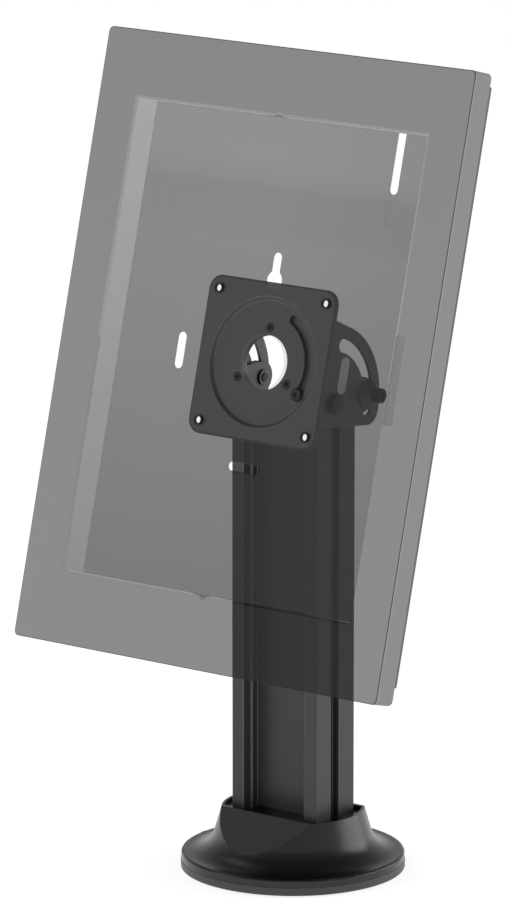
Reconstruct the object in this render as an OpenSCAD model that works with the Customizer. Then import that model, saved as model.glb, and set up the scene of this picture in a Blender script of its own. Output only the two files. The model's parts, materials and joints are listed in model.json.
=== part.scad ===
// Desktop tablet stand. A thin see-through tablet case is screwed to a square plate
// that turns on a U-shaped yoke. The yoke tilts on a saddle at the top of a slotted
// column, and the column stands on a steel disc under a bell-shaped cover.
// Millimetres, +Z up, screen towards -Y, origin at the centre of the underside.

/* [Base] */
// Radius of the steel base disc
base_r = 64; // [63:1:80]
// Thickness of the base disc
base_t = 4.4; // [3.6:0.2:8]
// Radius of the raised seat under the column
seat_r = 44; // [42.5:0.5:46]
// Height of the raised seat
seat_h = 4; // [2:0.5:6]
// Thickness of the rubber foot pad
pad_t = 1.4; // [1:0.1:3]
// Depth of the recess that holds the pad
pad_sink = 0.8; // [0.3:0.1:0.9]
// Bare metal left round the pad
pad_edge = 2; // [1:0.5:5]
// Radius of the threaded holes for bolting down to a desk
desk_hole_r = 2.5; // [1.5:0.1:3]
// Radius of the circle of desk bolt holes
desk_circle_r = 39.2; // [38.6:0.2:40]

/* [Bell cover] */
// Wall thickness of the moulded cover
cover_wall = 2.5; // [1.5:0.1:3]
// Height of the cover from the disc to the collar edge
cover_h = 30.5; // [27:0.5:50]
// Step in from the disc's edge to the cover's rim
cover_step = 0.3; // [0:0.1:1]
// Height of the straight rim
rim_h = 4.9; // [4:0.1:7]
// Rounding of the rim's top edge
rim_round = 1.5; // [0.5:0.1:2]
// Radius of the concave sweep from the rim up to the neck
flare_r = 16; // [12:0.5:17]
// Radius of the neck at the collar edge
neck_r = 40.7; // [39:0.1:42]
// Spread of the neck per millimetre downwards
neck_slope = 0.29; // [0.15:0.01:0.35]
// Half distance between the front and back facets at the collar edge
facet_half = 24.9; // [24:0.1:27]
// Spread of the facets per millimetre downwards
facet_slope = 1.19; // [1.1:0.01:1.3]
// Height above the disc where the facets have run out
facet_start = 8; // [7:0.5:9]
// Thickness of the collar's lip
collar_lip = 1.5; // [1:0.1:2.5]
// Depth of the collar's sunk floor below its lip
collar_sink = 2.3; // [1:0.1:5]
// Gap between the collar floor and the column
collar_gap = 0.4; // [0.2:0.1:1]
// Distance of the cover screws from the disc's edge
cover_screw_in = 8; // [7.6:0.1:9]

/* [Column] */
// Width of the column
column_w = 60; // [56:0.5:60.5]
// Depth of the column
column_d = 36.4; // [34:0.1:37]
// Length of the column
column_len = 257; // [180:1:400]
// Edge radius of the column's corners
column_edge = 1; // [0.4:0.1:2]
// Width of the posts on either side of the channels
post_w = 8.5; // [7.5:0.1:10]
// Depth of the front and back channels
channel_depth = 13; // [10:0.1:13.4]
// Wall thickness of the hollow panel between the channels
panel_wall = 2; // [1.2:0.1:2.5]
// Thickness of the ribs inside the panel
panel_rib = 1.6; // [1:0.1:3]
// Depth of the snap ridges below the channel's mouth
ridge_in = 7.5; // [3:0.1:9]
// Height of a snap ridge off the channel wall
ridge_h = 1; // [0.5:0.1:1.5]
// Width of a snap ridge at its root
ridge_w = 1.6; // [1:0.1:2.5]
// Width of the side T-slot's mouth
tee_mouth = 7.5; // [5:0.1:9]
// Thickness of the T-slot's lips
tee_lip = 2; // [1:0.1:3]
// Width of the T-slot behind its lips
tee_w = 11; // [9.5:0.1:12]
// Depth of the T-slot behind its lips
tee_depth = 4; // [2:0.1:4.4]
// Radius of the screw ports in the posts
port_r = 2.5; // [2:0.1:2.7]
// Distance of the screw ports from the column's side face
port_in_x = 4.2; // [4:0.1:4.6]
// Distance of the screw ports from the column's front and back faces
port_in_y = 6.2; // [5:0.1:7]

/* [Saddle and joint hardware] */
// Sheet thickness of the saddle on the column
saddle_t = 2.5; // [2:0.1:3]
// Radius of the saddle's ears round the bolts
ear_r = 9; // [8:0.1:9.5]
// Height of the tilt axis above the column top
pivot_rise = 12; // [11.8:0.1:15]
// Distance from the tilt axis to the lock screws
lock_reach = 32.9; // [30:0.1:33.5]
// Gap between an ear and the yoke cheek
cheek_gap = 1; // [0.6:0.1:1.5]
// Inside bend radius of the sheet brackets
bend_r = 0.5; // [0.3:0.1:0.6]
// Radius of the pivot bolts
pivot_r = 3; // [2:0.1:3.5]
// Width across flats of the pivot bolts
pivot_hex = 10; // [8:0.5:11]
// Head height of the pivot bolts
pivot_head = 4; // [2.5:0.1:5]
// Thickness of the pivot nuts
pivot_nut = 3.2; // [2:0.1:4]
// Radius of the lock screws
lock_r = 2.5; // [1.5:0.1:2.8]
// Head radius of the lock screws
lock_head_r = 4.25; // [4:0.05:5]
// Head height of the lock screws
lock_head = 5; // [4:0.1:6]
// Hexagon socket width of the lock screws
lock_socket = 4; // [3:0.1:5]
// Radius of the lock washers at the sheet
lock_washer_r = 8.7; // [8:0.05:8.8]
// Height of the conical lock washers
lock_cone = 5; // [3:0.1:6]
// Thickness of the round press nuts inside the ears
lock_nut = 1.2; // [1:0.1:3]
// Radius of the press nuts
lock_nut_r = 4.5; // [4:0.1:6]
// Running gap between faces that slide on each other
slide_gap = 0.1; // [0.05:0.01:0.2]
// Radial clearance of screws and bolts in their holes
hole_gap = 0.05; // [0.03:0.01:0.09]

/* [Yoke] */
// Tilt of the screen from upright as it stands
tilt_rest = 14.8; // [5:0.1:40]
// Largest tilt of the screen from upright
tilt_max = 87; // [60:1:87]
// Outside width of the yoke
yoke_w = 80; // [78:0.5:84]
// Sheet thickness of the yoke
yoke_t = 2; // [1.5:0.1:2.4]
// Height of the yoke above the swivel centre
yoke_up = 30; // [28:0.5:31]
// Depth of the yoke below the swivel centre
yoke_down = 32; // [30:0.5:33]
// Radius of the cheeks' round back about the tilt axis
cheek_r = 43.8; // [42:0.1:46]
// Rise of the cheeks' lower edge towards the back, in degrees
cheek_rise = 7.3; // [3:0.1:9]
// Radius of the cheeks' lower back corner
cheek_corner = 9.5; // [6:0.1:11]
// Width of the curved lock slots
lock_slot = 7.6; // [7:0.1:8]
// Distance of the tilt axis behind the plate's front
pivot_back = 17; // [16.6:0.1:19]
// Distance of the tilt axis below the swivel centre
pivot_drop = 16.7; // [15:0.1:18]

/* [Plate and swivel] */
// Side of the square plate
plate_w = 90; // [88:0.5:100]
// Sheet thickness of the plate
plate_t = 2; // [1.5:0.1:2.5]
// Corner radius of the plate
plate_corner = 8.5; // [4:0.1:12]
// Spacing of the square of fixing holes
vesa_pitch = 75; // [75:0.5:78]
// Radius of the fixing holes
vesa_hole_r = 2.3; // [2.15:0.05:2.6]
// Radius of the fixing screws
vesa_screw_r = 2; // [1.5:0.05:2.05]
// Depth of the fixing screws' tips below the case's floor
screw_recess = 0.9; // [0:0.1:1.2]
// Radius of the round dish at the plate's front
dish_r = 37; // [36:0.1:40]
// Depth of the dish
dish_depth = 2; // [1.8:0.1:2.5]
// Radius of the cable bore through the swivel
bore_r = 15.5; // [12:0.1:16]
// Radius of the yoke's hole for the swivel ring
web_hole_r = 23; // [22.4:0.1:23.6]
// Radial running clearance of the swivel ring
swivel_gap = 0.08; // [0.04:0.01:0.1]
// Thickness of the nylon rings either side of the yoke
nylon_t = 0.4; // [0.3:0.05:0.8]
// Overlap of the swivel ring's flange past the yoke's hole
flange_lap = 2.4; // [1.8:0.1:2.5]
// Thickness of the swivel ring's flange
flange_t = 1.5; // [1:0.1:2]
// Radius of the circle of swivel screws
screw_circle_r = 20; // [19.6:0.1:20.4]
// Radius of the curved slot that limits the turn
turn_slot_r = 30; // [29.8:0.1:31]
// Width of that slot
turn_slot_w = 5; // [4.6:0.1:5.2]
// Turn of the screen, upright to lengthways
turn_angle = 90; // [45:1:90]
// Direction of the stop screw from the swivel centre
stop_angle = -30; // [-40:1:-20]
// Head radius of the stop screw
stop_head_r = 3.75; // [3:0.05:4]

/* [Tablet case] */
// Width of the case
case_w = 256.2; // [240:0.2:280]
// Height of the case
case_h = 349.6; // [320:0.2:380]
// Depth of the case
case_d = 21; // [18:0.5:26]
// Wall thickness of the case
case_wall = 1.5; // [1.2:0.1:2]
// Depth of the front shell's side walls
case_side = 15.6; // [12:0.1:16.5]
// Corner radius of the case
case_corner = 3; // [2:0.1:8]
// Width of the window
window_w = 203; // [190:0.5:215]
// Height of the window
window_h = 270; // [240:0.5:290]
// Shift of the window to the right
window_x = 1; // [0:0.1:3]
// Shift of the window upwards
window_up = 1.5; // [0:0.1:4]
// Radius of the half-round notches at the window's top and bottom
notch_r = 2.2; // [1:0.1:4]
// Step in from the front shell to the rear cover at the sides
back_in = 2.6; // [2.4:0.1:5]
// Step down from the case's top to the rear cover
back_top = 5.3; // [4:0.1:12]
// Step up from the case's bottom to the rear cover
back_low = 8.4; // [7.5:0.1:16]
// Length of the rear cover's wall inside the front shell
back_lap = 6; // [4:0.1:7]
// Gap between the rear cover and the front shell's lip
lip_gap = 0.2; // [0.1:0.05:0.5]
// Width of the slots in the rear cover
slot_w = 6; // [5:0.1:7]
// Length of the upright slots beside the plate
slot_len = 20.7; // [15:0.1:24]
// Distance of the upright slots from the plate's edge
slot_out = 12.4; // [8:0.1:16]
// Drop of the upright slots below the swivel centre
slot_down = 0.5; // [0:0.5:6]
// Radius of the keyhole's head
key_r = 5.4; // [4.5:0.1:6]
// Width of the keyhole's neck
key_neck = 5.8; // [4.6:0.1:6.5]
// Height of the keyhole's head above the swivel centre
key_up = 46; // [40:0.5:56]
// Length of the keyhole from its centre to its top
key_len = 15.7; // [10:0.1:20]
// Drop of the level slot below the swivel centre
low_slot_down = 60; // [52:0.5:80]
// Length of the level slot
low_slot_len = 23; // [15:0.5:30]
// Width of the level slot
low_slot_w = 5; // [4.5:0.1:7]
// Width of the upright cable slot
cable_slot_w = 5.5; // [4.5:0.1:7]
// Length of the upright cable slot
cable_slot_len = 37; // [24:0.5:40]
// Reach of the cable slot past the window's top
cable_slot_past = 3; // [0:0.5:6]
// Distance of the cable slot to the right of the centre
cable_slot_x = 71.5; // [60:0.5:80]
// Width of the cable tie bar
tie_w = 2.5; // [2:0.1:4]
// Length of the cable tie bar
tie_len = 16.5; // [12:0.5:20]
// Height of the cable tie bar off the rear cover
tie_h = 3.6; // [3:0.1:6]

/* [Hidden] */
$fn = 96;
eps = 0.02;
half_turn = 180;

// heights of the base
disc_low = pad_t - pad_sink;
disc_top = disc_low + base_t;
seat_top = disc_top + seat_h;
cover_top = disc_top + cover_h;
rim_top = disc_top + rim_h;
column_top = seat_top + column_len;

// centre of the bell's concave sweep, which touches the rim's ring and the neck
neck_k = sqrt(1 + neck_slope * neck_slope);
flare_z = rim_top + flare_r;
flare_x = neck_r + neck_slope * (cover_top - flare_z) + flare_r * neck_k;
facet_k = sqrt(1 + facet_slope * facet_slope);
cover_screw_r = base_r - cover_screw_in;
cover_bolt_r = 1.5;
cover_boss_r = 2 * cover_bolt_r + 0.4;
cover_boss_h = rim_h - cover_wall / 4;
cover_screw_len = disc_top + rim_h - cover_wall / 2 - pad_t;
desk_pad_gap = 1;

// screw ports of the column
port_x = column_w / 2 - port_in_x;
port_y = column_d / 2 - port_in_y;
port_screw_r = port_r - 2 * hole_gap;
port_screw_in = 14;
port_head_r = 2 * port_screw_r - 0.3;
port_socket = 3;
saddle_head_r = 1.75 * port_screw_r;
saddle_head = 2.2;
duct_w = 14;
duct_corner = 3;
channel_w = column_w - 2 * post_w;
panel_half = column_d / 2 - channel_depth;
hollow_w = column_w - 2 * (tee_lip + tee_depth + panel_wall);
ridge_y = column_d / 2 - ridge_in;

// tilt joint
pivot_y = -lock_reach / 2;
lock_y = lock_reach / 2;
pivot_z = column_top + pivot_rise;
cheek_in = yoke_w / 2 - yoke_t;
cheek_out = yoke_w / 2;
ear_out = cheek_in - cheek_gap;
ear_in = ear_out - saddle_t;
plate_y = pivot_y - pivot_back * cos(tilt_rest) + pivot_drop * sin(tilt_rest);
plate_z = pivot_z + pivot_back * sin(tilt_rest) + pivot_drop * cos(tilt_rest);

// swivel stack, measured backwards from the plate's front
floor_v = plate_t + dish_depth;
web_v = floor_v + nylon_t + slide_gap;
web_back = web_v + yoke_t;
flange_v = web_back + slide_gap + nylon_t;
flange_back = flange_v + flange_t;
barrel_r = web_hole_r - swivel_gap;
flange_r = web_hole_r + flange_lap;
nylon_in = web_hole_r + 0.2;
swivel_screw_r = 1.5;
swivel_head_r = 3;
stop_shoulder_r = turn_slot_w / 2 - 0.2;
stop_head = 1.5;
stop_head_back = plate_t - slide_gap;
stop_round = 0.5;
stop_past = 0.3;
screw_rim = 1.2;
ring_chamfer = 2;
ring_screw_in = 1.4;
web_nylon_r = turn_slot_r - turn_slot_w / 2 - 0.5;
thin_nut = 2.2;
small_hex = 7;
small_socket = 2;
mid_socket = 2.5;
socket_deep = 0.9;
washer_r = ear_r - 0.6;
bolt_past = 1;
lock_chamfer = 0.4;
lock_socket_deep = 2.6;
lock_rim = 0.8;
hub_gap = 0.25;

// side outline of the yoke's cheeks, as [back, up] from the plate's front centre
axis_at = [pivot_back, -pivot_drop];
top_at = [web_v, yoke_up];
low_at = [web_v, -yoke_down];
rise = [cos(cheek_rise), sin(cheek_rise)];
lift = [-sin(cheek_rise), cos(cheek_rise)];
axis_lift = (axis_at - low_at) * lift;
corner_run = sqrt(pow(cheek_r - cheek_corner, 2) - pow(cheek_corner - axis_lift, 2));
corner_at = axis_at + corner_run * rise + (cheek_corner - axis_lift) * lift;

// case
shell_rear = case_d - case_side;
tray_front = shell_rear + back_lap;
back_hi = case_h / 2 - back_top;
back_lo = -case_h / 2 + back_low;
back_w = case_w - 2 * back_in;
window_top = window_up + window_h / 2;
window_right = window_x + window_w / 2;
tab_x = 60;
tab_w = 16;
case_screw_r = 1.5;
insert_r = vesa_screw_r + 0.8;
pocket_w = 6;
pocket_len = 50;
pocket_in = 0.6;
pocket_out = 3.5;
case_screw_len = 6.5;
case_screw_v = 2.4 - tray_front;
tie_gap = 3;
tie_sink = 1.2;
tie_end = 2.5;

// touching point of the line from p on the circle of radius r about c
function touch(p, c, r, side) =
    let (d = norm(p - c), a = atan2(p[1] - c[1], p[0] - c[0]) + side * acos(r / d))
    c + r * [cos(a), sin(a)];

// places children on the tilted plate: x across, y back, z up along the screen
module on_plate() {
    translate([0, plate_y, plate_z]) rotate([-tilt_rest, 0, 0]) children();
}

// sheet of thickness t, its front at depth v, from an outline seen from the front
module sheet_v(v, t) {
    translate([0, v + t, 0]) rotate([90, 0, 0]) linear_extrude(t) children();
}

// round piece about the swivel axis, from a [radius, depth] profile
module round_v() {
    rotate([-90, 0, 0]) rotate_extrude() children();
}

// piece from x to x + w, from a [back, up] outline
module side_x(x, w) {
    translate([x, 0, 0]) rotate([90, 0, 90]) linear_extrude(w) children();
}

// round piece along +X from x, at the given place in Y and Z
module pin_x(x, len, r, y, z) {
    translate([x, y, z]) rotate([0, 90, 0]) cylinder(r = r, h = len);
}

// hexagon across flats, two flats level with Y
module hex(flats) {
    circle(r = flats / sqrt(3), $fn = 6);
}

module rounded(w, h, r) {
    square([w - 2 * r, h], center = true);
    square([w, h - 2 * r], center = true);
    for (x = [-1, 1], y = [-1, 1])
        translate([x * (w / 2 - r), y * (h / 2 - r)]) circle(r);
}

module obround(w, len) {
    square([w, len - w], center = true);
    for (s = [-1, 1])
        translate([0, s * (len - w) / 2]) circle(w / 2);
}

// curved slot of width w on a circle of radius r, its end centres at the two angles
module arc_slot(r, w, from, to) {
    intersection() {
        difference() {
            circle(r + w / 2);
            circle(r - w / 2);
        }
        polygon([
            [0, 0],
            for (i = [0 : 4])
                let (a = from + i * (to - from) / 4) 2 * r * [cos(a), sin(a)]
        ]);
    }
    for (a = [from, to])
        rotate(a) translate([r, 0]) circle(w / 2);
}

// U-shaped sheet section, outside width w, open upwards, walls of thickness t
module u_section(w, h, t) {
    difference() {
        translate([0, h / 2]) square([w, h], center = true);
        translate([0, t + h]) rounded_u(w / 2 - t, h, bend_r);
        for (s = [-1, 1])
            translate([s * (w / 2 - bend_r - t), bend_r + t])
                difference() {
                    translate([s * (bend_r + t + eps) / 2, -(bend_r + t + eps) / 2])
                        square(bend_r + t + eps, center = true);
                    circle(bend_r + t);
                }
    }
}

module rounded_u(half, h, r) {
    translate([-half, -h + r]) square([2 * half, 2 * h]);
    translate([-half + r, -h]) square([2 * (half - r), h]);
    for (s = [-1, 1])
        translate([s * (half - r), -h + r]) circle(r);
}

// countersunk screw pointing up from its flat head at z = 0
module sunk_screw(head, r, len, socket) {
    difference() {
        union() {
            cylinder(r1 = head, r2 = r, h = head - r);
            cylinder(r = r, h = len);
        }
        translate([0, 0, -eps]) linear_extrude(head * 0.45) hex(socket);
    }
}

module sunk_hole(head, r, len) {
    translate([0, 0, -eps]) cylinder(r = r + hole_gap, h = len + eps);
    translate([0, 0, -1]) cylinder(r = head + hole_gap, h = 1);
    translate([0, 0, -eps / 2]) cylinder(r1 = head + hole_gap, r2 = r + hole_gap, h = head - r);
}

module at_ports() {
    for (x = [-1, 1], y = [-1, 1])
        translate([x * port_x, y * port_y, 0]) children();
}

module at_desk_holes() {
    for (a = [90, 210, 330])
        rotate(a) translate([desk_circle_r, 0, 0]) children();
}

module at_cover_screws() {
    for (a = [30, 150, 270])
        rotate(a) translate([cover_screw_r, 0, 0]) children();
}

module foot_pad() {
    color("#1a1a1a")
        difference() {
            cylinder(r = base_r - pad_edge, h = pad_t);
            at_desk_holes() translate([0, 0, -1]) cylinder(r = desk_hole_r + desk_pad_gap, h = pad_t + 2);
        }
}

module base_plate() {
    color("#3a3a3c")
        difference() {
            union() {
                translate([0, 0, disc_low]) cylinder(r = base_r, h = base_t);
                translate([0, 0, disc_low]) cylinder(r = seat_r, h = base_t + seat_h);
            }
            translate([0, 0, disc_low - 1]) cylinder(r = base_r - pad_edge + hole_gap, h = pad_sink + 1);
            at_desk_holes() cylinder(r = desk_hole_r, h = seat_top + 1);
            at_ports() translate([0, 0, pad_t]) sunk_hole(port_head_r, port_screw_r, seat_top);
            at_cover_screws() translate([0, 0, pad_t]) sunk_hole(2 * cover_bolt_r, cover_bolt_r, base_t + 1);
        }
}

// section of the bell, moved inwards by inset and cut level at top
module bell_section(inset, top) {
    r_rim = base_r - cover_step - inset;
    r_top = neck_r + neck_slope * (cover_top - top) - inset * neck_k;
    reach = flare_r + inset;
    difference() {
        polygon([
            [0, disc_top],
            [r_rim, disc_top],
            [r_rim, rim_top - inset],
            [flare_x, rim_top - inset],
            [flare_x - reach / neck_k, flare_z - reach * neck_slope / neck_k],
            [r_top, top],
            [0, top]
        ]);
        translate([flare_x, flare_z]) circle(reach);
    }
}

// bell with its front and back facets, moved inwards by inset
module bell_form(inset, top) {
    start = disc_top + facet_start;
    at_start = facet_half + facet_slope * (cover_top - start) - inset * facet_k;
    at_top = facet_half + facet_slope * (cover_top - top) - inset * facet_k;
    intersection() {
        rotate_extrude() bell_section(inset, top);
        union() {
            translate([-base_r, -base_r, disc_top]) cube([2 * base_r, 2 * base_r, start - disc_top]);
            side_x(-base_r, 2 * base_r)
                polygon([[-at_start, start], [at_start, start], [at_top, top], [-at_top, top]]);
        }
    }
}

module base_cover() {
    floor_z = cover_top - collar_sink;
    color("#232324")
        difference() {
            union() {
                difference() {
                    bell_form(0, cover_top);
                    bell_form(cover_wall, floor_z - cover_wall);
                    intersection() {
                        bell_form(collar_lip, cover_top + eps);
                        translate([0, 0, floor_z]) cylinder(r = base_r, h = collar_sink + 1);
                    }
                    rotate_extrude() rim_edge();
                }
                at_cover_screws()
                    translate([0, 0, disc_top]) cylinder(r = cover_boss_r, h = cover_boss_h);
            }
            translate([0, 0, floor_z]) linear_extrude(4 * cover_wall, center = true) collar_hole();
            at_cover_screws()
                translate([0, 0, disc_top - 1]) cylinder(r = cover_bolt_r + hole_gap, h = rim_h);
        }
}

// hole in the collar's floor round the column, with tongues that close the channels
module collar_hole() {
    difference() {
        rounded(column_w + 2 * collar_gap, column_d + 2 * collar_gap, column_edge + collar_gap);
        for (s = [-1, 1])
            translate([0, s * (panel_half + channel_depth + collar_gap)])
                square([channel_w - 2 * (ridge_h + collar_gap), 2 * channel_depth], center = true);
    }
}

// corner waste that rounds the rim's top edge
module rim_edge() {
    r = base_r - cover_step;
    translate([r - rim_round, rim_top - rim_round])
        difference() {
            square(rim_round + 1);
            circle(rim_round);
        }
}

module cover_screws() {
    color("#77787a")
        at_cover_screws()
            translate([0, 0, pad_t])
                sunk_screw(2 * cover_bolt_r, cover_bolt_r, cover_screw_len, small_socket);
}

module column_screws() {
    color("#77787a")
        at_ports()
            translate([0, 0, pad_t])
                sunk_screw(port_head_r, port_screw_r, seat_top + port_screw_in - pad_t, port_socket);
}

module column_section() {
    difference() {
        rounded(column_w, column_d, column_edge);
        for (s = [-1, 1]) {
            translate([0, s * (panel_half + channel_depth)])
                square([channel_w, 2 * channel_depth], center = true);
            translate([s * (column_w - tee_lip) / 2, 0])
                square([tee_lip + 2 * eps, tee_mouth], center = true);
            translate([s * (column_w / 2 - tee_lip - tee_depth / 2), 0])
                square([tee_depth, tee_w], center = true);
        }
        for (x = [-1, 1], y = [-1, 1])
            translate([x * port_x, y * port_y]) circle(port_r);
        for (x = [-1, 0, 1])
            translate([x * (hollow_w + panel_rib) / 3, 0])
                square([(hollow_w - 2 * panel_rib) / 3, 2 * (panel_half - panel_wall)], center = true);
    }
    for (y = [-1, 1], turn = [0, half_turn])
        translate([0, y * ridge_y]) rotate(turn)
            polygon([
                [-(channel_w + ridge_h) / 2, -ridge_w / 2],
                [-channel_w / 2, -ridge_w / 2],
                [-channel_w / 2 + ridge_h, -ridge_w / 4],
                [-channel_w / 2 + ridge_h, ridge_w / 4],
                [-channel_w / 2, ridge_w / 2],
                [-(channel_w + ridge_h) / 2, ridge_w / 2]
            ]);
}

module column() {
    color("#47484a")
        translate([0, 0, seat_top]) linear_extrude(column_len) column_section();
}

// side outline of the saddle, as [back, up] in the part's own place
module ear_outline() {
    p = [pivot_y, pivot_z];
    foot = [-column_d / 2, column_top];
    t = touch(foot, p, ear_r, -1);
    for (s = [-1, 1])
        translate([s * lock_reach / 2, pivot_z]) circle(ear_r);
    translate([pivot_y, pivot_z]) square([lock_reach, ear_r]);
    polygon([foot, [-foot[0], foot[1]], [-t[0], t[1]], [lock_y, pivot_z + 1], [pivot_y, pivot_z + 1], t]);
}

module saddle_bracket() {
    color("#333436")
        difference() {
            intersection() {
                side_x(-ear_out, 2 * ear_out) ear_outline();
                translate([0, column_d, column_top]) rotate([90, 0, 0])
                    linear_extrude(2 * column_d) u_section(2 * ear_out, pivot_rise + ear_r, saddle_t);
            }
            pin_x(-ear_out - 1, 2 * ear_out + 2, pivot_r + hole_gap, pivot_y, pivot_z);
            pin_x(-ear_out - 1, 2 * ear_out + 2, lock_r + hole_gap, lock_y, pivot_z);
            at_ports()
                translate([0, 0, column_top - 1]) cylinder(r = port_screw_r + hole_gap, h = saddle_t + 2);
            translate([0, 0, column_top]) linear_extrude(3 * saddle_t, center = true)
                rounded(duct_w, duct_w, duct_corner);
        }
}

module saddle_screws() {
    color("#77787a")
        at_ports()
            translate([0, 0, column_top + saddle_t])
                difference() {
                    union() {
                        cylinder(r = saddle_head_r, h = saddle_head);
                        translate([0, 0, -saddle_t - port_screw_in])
                            cylinder(r = port_screw_r, h = saddle_t + port_screw_in + 1);
                    }
                    translate([0, 0, 0.4 * saddle_head]) linear_extrude(saddle_head) hex(port_socket);
                }
}

module friction_washers() {
    color("#dcdcd6")
        for (s = [-1, 1], lock = [0, 1])
            difference() {
                pin_x(s > 0 ? ear_out : -ear_out - cheek_gap + slide_gap, cheek_gap - slide_gap,
                      washer_r, lock ? lock_y : pivot_y, pivot_z);
                pin_x(s > 0 ? ear_out - 1 : -ear_out - cheek_gap - 1, cheek_gap + 2,
                      (lock ? lock_r : pivot_r) + hole_gap, lock ? lock_y : pivot_y, pivot_z);
            }
}

// hexagon prism along X from x, at the given place in Y and Z
module hex_x(x, len, flats, y, z) {
    translate([x, y, z]) rotate([90, 0, 90]) linear_extrude(len) rotate(30) hex(flats);
}

module pivot_bolts() {
    tip = ear_in - pivot_nut - bolt_past;
    color("#8d8f92")
        for (s = [0, 1])
            mirror([s, 0, 0]) {
                pin_x(tip, cheek_out + slide_gap - tip + 1, pivot_r, pivot_y, pivot_z);
                hex_x(cheek_out + slide_gap, 0.85 * pivot_head, pivot_hex, pivot_y, pivot_z);
                pin_x(cheek_out + slide_gap, pivot_head, 0.46 * pivot_hex, pivot_y, pivot_z);
            }
}

module pivot_nuts() {
    color("#8d8f92")
        for (s = [0, 1])
            mirror([s, 0, 0])
                difference() {
                    hex_x(ear_in - pivot_nut, pivot_nut, pivot_hex, pivot_y, pivot_z);
                    pin_x(ear_in - pivot_nut - 1, pivot_nut + 2, pivot_r + hole_gap, pivot_y, pivot_z);
                }
}

module lock_screw() {
    head_x = cheek_out + slide_gap + lock_cone;
    tip = ear_in - lock_nut - bolt_past / 2;
    difference() {
        union() {
            pin_x(tip, head_x - tip + 1, lock_r, lock_y, pivot_z);
            pin_x(head_x, lock_head - lock_chamfer, lock_head_r, lock_y, pivot_z);
            translate([head_x + lock_head - lock_chamfer, lock_y, pivot_z]) rotate([0, 90, 0])
                cylinder(r1 = lock_head_r, r2 = lock_head_r - lock_chamfer, h = lock_chamfer);
        }
        hex_x(head_x + lock_head - lock_socket_deep, lock_socket_deep + 1, lock_socket, lock_y, pivot_z);
    }
}

module lock_screw_right() {
    color("#9a9b9e") lock_screw();
}

module lock_screw_left() {
    color("#9a9b9e") mirror([1, 0, 0]) lock_screw();
}

module lock_washers() {
    hub = lock_slot / 2 - hub_gap;
    face = yoke_t + slide_gap;
    color("#2a2b2c")
        for (s = [0, 1])
            mirror([s, 0, 0])
                translate([cheek_in, lock_y, pivot_z]) rotate([0, 90, 0]) rotate_extrude()
                    polygon([
                        [lock_r + hole_gap, 0],
                        [hub, 0],
                        [hub, face],
                        [lock_washer_r, face],
                        [lock_washer_r, face + lock_rim],
                        [lock_head_r + 2 * hub_gap, face + lock_cone],
                        [lock_r + hole_gap, face + lock_cone]
                    ]);
}

module lock_nuts() {
    color("#3c3d3f")
        for (s = [0, 1])
            mirror([s, 0, 0])
                difference() {
                    pin_x(ear_in - lock_nut, lock_nut, lock_nut_r, lock_y, pivot_z);
                    pin_x(ear_in - lock_nut - 1, lock_nut + 2, lock_r + hole_gap, lock_y, pivot_z);
                }
}

// side outline of the yoke, as [back, up] from the plate's front centre
module cheek_outline() {
    far = 2 * cheek_r;
    top_touch = touch(top_at, axis_at, cheek_r, -1);
    difference() {
        union() {
            intersection() {
                translate(axis_at) circle(cheek_r);
                polygon([low_at, low_at + far * rise, low_at + far * rise + far * lift, low_at + [0, far]]);
            }
            polygon([low_at, axis_at, top_touch, top_at]);
        }
        polygon([
            corner_at,
            corner_at - 2 * cheek_corner * lift,
            corner_at + cheek_corner * (3 * rise - 2 * lift),
            corner_at + 3 * cheek_corner * (corner_at - axis_at) / norm(corner_at - axis_at)
        ]);
    }
    translate(corner_at) circle(cheek_corner);
}

module yoke() {
    color("#2d2e30")
        on_plate()
            difference() {
                intersection() {
                    side_x(-cheek_out, yoke_w) cheek_outline();
                    translate([0, web_v, -yoke_down - 1]) linear_extrude(yoke_up + yoke_down + cheek_r)
                        u_section(yoke_w, pivot_back + 2 * cheek_r, yoke_t);
                }
                side_x(-cheek_out - 1, yoke_w + 2)
                    translate(axis_at) {
                        circle(pivot_r + hole_gap);
                        arc_slot(lock_reach, lock_slot, 0, tilt_max);
                    }
                sheet_v(web_v - 1, yoke_t + 2) {
                    circle(web_hole_r);
                    rotate(stop_angle) translate([turn_slot_r, 0]) circle(vesa_screw_r + hole_gap);
                }
            }
}

module stop_screw() {
    color("#8d8f92")
        on_plate()
            rotate([0, -stop_angle, 0]) translate([turn_slot_r, 0, 0])
                difference() {
                    round_v()
                        polygon([
                            [0, stop_head_back - stop_head],
                            [stop_head_r - stop_round, stop_head_back - stop_head],
                            [stop_head_r, stop_head_back - stop_head + stop_round],
                            [stop_head_r, stop_head_back],
                            [stop_shoulder_r, stop_head_back],
                            [stop_shoulder_r, web_v],
                            [vesa_screw_r, web_v],
                            [vesa_screw_r, web_back + thin_nut + stop_past],
                            [0, web_back + thin_nut + stop_past]
                        ]);
                    sheet_v(stop_head_back - stop_head - 1, 1 + socket_deep) hex(mid_socket);
                }
}

module stop_nut() {
    color("#8d8f92")
        on_plate()
            rotate([0, -stop_angle, 0]) translate([turn_slot_r, 0, 0])
                sheet_v(web_back, thin_nut)
                    difference() {
                        rotate(30) hex(small_hex);
                        circle(vesa_screw_r + hole_gap);
                    }
}

module at_vesa() {
    for (x = [-1, 1], u = [-1, 1])
        translate([x * vesa_pitch / 2, 0, u * vesa_pitch / 2]) children();
}

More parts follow.
